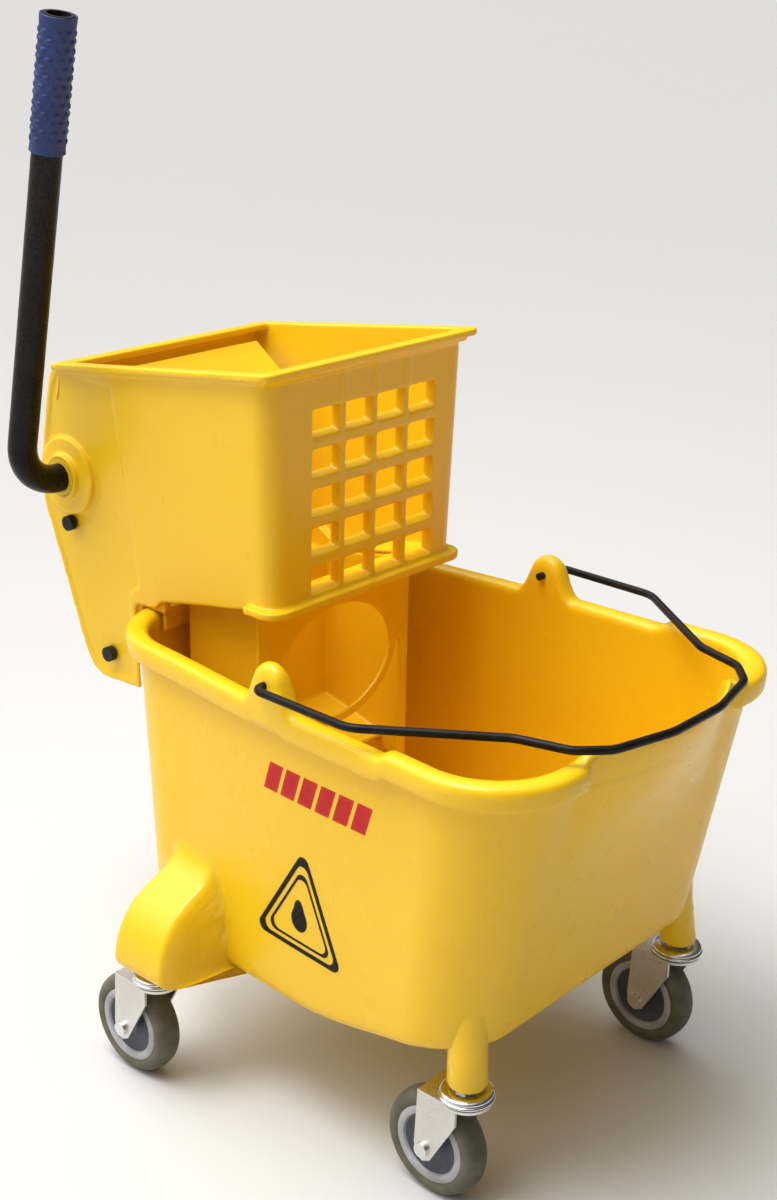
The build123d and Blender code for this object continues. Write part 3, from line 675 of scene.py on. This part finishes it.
for number in (1, 2, 3, 4):
    low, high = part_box(f"tyre_{number}")
    hub = tuple(c / MM for c in (low + high) / 2)
    tag = f"_{number}"
    build("tread" + tag, *lathe(TYRE, hub, turns=96), MATERIALS["tyre_rubber"], f"wheel_{number}",
          "tyre_rubber", ("tyre" + tag,))
    build("wheel_ring" + tag, *lathe(RING, hub, turns=80), MATERIALS["wheel_core"], f"wheel_{number}",
          "wheel_core", ("wheel_core" + tag,), sharp=35)
    discs = join([lathe([(r, s * a) for r, a in HUB], hub, turns=64) for s in (-1, 1)])
    build("hub_disc" + tag, *discs, MATERIALS["hub_cover"], f"wheel_{number}", "hub_cover",
          ("hub_covers" + tag,))
    low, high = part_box(f"swivel_race_{number}")
    seat = ((low.x + high.x) / 2 / MM, (low.y + high.y) / 2 / MM, low.z / MM - 0.3)
    build("race_ring" + tag, *lathe(RACE, seat, "Z", 80), MATERIALS["chrome_race"], "bucket", "chrome_race",
          ("swivel_race" + tag,), sharp=60)

# ---- Lever grip -----------------------------------------------------------------------------------------
LEVER_LEAN = radians(11.75)
GRIP_LENGTH, GRIP_RADIUS, GRIP_BORE = 110.0, 14.7, 13.05
STUD_PITCH, STUDS_ROUND = 7.2, 9
low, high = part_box("lever_grip")
lean_axis = Vector((sin(LEVER_LEAN), 0, cos(LEVER_LEAN)))
side_axis = Vector((cos(LEVER_LEAN), 0, -sin(LEVER_LEAN)))
grip_top = Vector(((high.x / MM - 15.6 * cos(LEVER_LEAN)), (low.y + high.y) / 2 / MM, 908.0))


def grip():
    """Ribbed rubber sleeve with rows of raised studs, open and slightly flared at its end."""
    rows, turns = 230, 108
    points, faces = [], []
    for j in range(rows + 1):
        along = GRIP_LENGTH * j / rows
        for i in range(turns):
            angle = 2 * pi * i / turns
            radius = GRIP_RADIUS + 0.5 * smooth(along, 12, 2)
            radius += 0.5 * smooth(along, GRIP_LENGTH - 5, GRIP_LENGTH)
            if 9 < along < GRIP_LENGTH - 8:
                row = (along - 9) / STUD_PITCH
                ring = int(row)
                turn = angle / (2 * pi) * STUDS_ROUND + (0.5 if ring % 2 else 0)
                dx = (turn - round(turn)) * 2 * pi * GRIP_RADIUS / STUDS_ROUND
                dz = (row - ring - 0.5) * STUD_PITCH
                radius += 0.95 * smooth(hypot(dx * 0.8, dz), 3.1, 1.2)
            if j in (0, rows):
                radius -= 0.5
            place = grip_top - lean_axis * (along + 0.35) + side_axis * radius * cos(angle)
            points.append((place.x, place.y + radius * sin(angle), place.z))
    start = len(points)
    for j, (along, radius) in enumerate(((GRIP_LENGTH, GRIP_BORE), (2.0, GRIP_BORE), (0.5, 13.6))):
        for i in range(turns):
            angle = 2 * pi * i / turns
            place = grip_top - lean_axis * (along + 0.35) + side_axis * radius * cos(angle)
            points.append((place.x, place.y + radius * sin(angle), place.z))
    rings = rows + 1 + 3
    for j in range(rings):
        for i in range(turns):
            a, b = j * turns + i, j * turns + (i + 1) % turns
            k = (j + 1) % rings
            faces.append((a, b, k * turns + (i + 1) % turns, k * turns + i))
    return points, faces


build("studded_grip", *grip(), MATERIALS["grip_rubber"], "lever", "grip_rubber", ("lever_grip",), sharp=70)

# ---- Camera, light and floor ----------------------------------------------------------------------------
CAMERA_PLACE = (0.92749, -1.10130, 0.98604)
CAMERA_TURN = (41.7129, 20.3519, 1.2154)        # azimuth, elevation and roll, in degrees
CAMERA_LENS, CAMERA_SHIFT = 54.196, -0.0132
camera_data = bpy.data.cameras.new("camera")
camera = bpy.data.objects.new("camera", camera_data)
bpy.context.scene.collection.objects.link(camera)
camera.location = CAMERA_PLACE
azimuth, elevation, roll = (radians(value) for value in CAMERA_TURN)
back = Vector((sin(azimuth) * cos(elevation), -cos(azimuth) * cos(elevation), sin(elevation)))
right = Vector((0, 0, 1)).cross(back).normalized()
up = back.cross(right)
right, up = right * cos(roll) + up * sin(roll), up * cos(roll) - right * sin(roll)
camera.rotation_euler = Matrix((right, up, back)).transposed().to_euler()
camera_data.lens = CAMERA_LENS
camera_data.sensor_width = 36
camera_data.shift_y = CAMERA_SHIFT
camera_data.clip_end = 50
bpy.context.scene.camera = camera

REACH, PALE, PALER = 30, (0.61, 0.61, 0.61), (0.62, 0.62, 0.62)
floor_mesh = bpy.data.meshes.new("floor")
floor_mesh.from_pydata([(-REACH, -REACH, 0), (REACH, -REACH, 0), (REACH, REACH, 0), (-REACH, REACH, 0)], [],
                       [(0, 1, 2, 3)])
floor = bpy.data.objects.new("floor", floor_mesh)
bpy.context.scene.collection.objects.link(floor)
floor_look = Shader("floor_pale", PALER, 0.8)
floor_mesh.materials.append(floor_look.set(floor_look.blend(PALER, PALE, floor_look.noise(3))))

SKY_AXIS = (-0.46, -0.24, 0.855)        # where the soft light mostly comes from
SKY_PEAK, SKY_BASE, SKY_POWER = 3.9, 0.12, 4
SKY_WARM, SKY_WHITE = (1.0, 0.82, 0.66, 1), (0.985, 1, 1, 1)
world = bpy.data.worlds.new("studio")
world.use_nodes = True
bpy.context.scene.world = world
sky = world.node_tree
sky.nodes["Background"].inputs["Color"].default_value = (1, 1, 1, 1)
towards = sky.nodes.new("ShaderNodeVectorMath")
towards.operation = "DOT_PRODUCT"
towards.inputs[1].default_value = SKY_AXIS
sky.links.new(sky.nodes.new("ShaderNodeTexCoord").outputs["Generated"], towards.inputs[0])
lobe = sky.nodes.new("ShaderNodeMath")
lobe.operation = "MAXIMUM"
lobe.inputs[1].default_value = 0
sky.links.new(towards.outputs["Value"], lobe.inputs[0])
peak = sky.nodes.new("ShaderNodeMath")
peak.operation = "POWER"
peak.inputs[1].default_value = SKY_POWER
sky.links.new(lobe.outputs["Value"], peak.inputs[0])
level = sky.nodes.new("ShaderNodeMath")
level.operation = "MULTIPLY_ADD"
level.inputs[1].default_value, level.inputs[2].default_value = SKY_PEAK, SKY_BASE
sky.links.new(peak.outputs["Value"], level.inputs[0])
sky.links.new(level.outputs["Value"], sky.nodes["Background"].inputs["Strength"])
warmth = sky.nodes.new("ShaderNodeMix")
warmth.data_type = "RGBA"
warmth.inputs["A"].default_value, warmth.inputs["B"].default_value = SKY_WARM, SKY_WHITE
sky.links.new(lobe.outputs["Value"], warmth.inputs["Factor"])
sky.links.new(warmth.outputs["Result"], sky.nodes["Background"].inputs["Color"])


KEY_PLACE, KEY_TARGET, KEY_SIZE, KEY_ENERGY = (-0.25, -0.75, 2.6), (0, 0, 0.35), 1.3, 34
key_data = bpy.data.lights.new("key", "AREA")
key_data.shape, key_data.size, key_data.energy = "DISK", KEY_SIZE, KEY_ENERGY
key = bpy.data.objects.new("key", key_data)
bpy.context.scene.collection.objects.link(key)
key.location = KEY_PLACE
key.rotation_euler = (Vector(KEY_PLACE) - Vector(KEY_TARGET)).to_track_quat("Z", "Y").to_euler()

bpy.context.scene.view_settings.view_transform = "Standard"
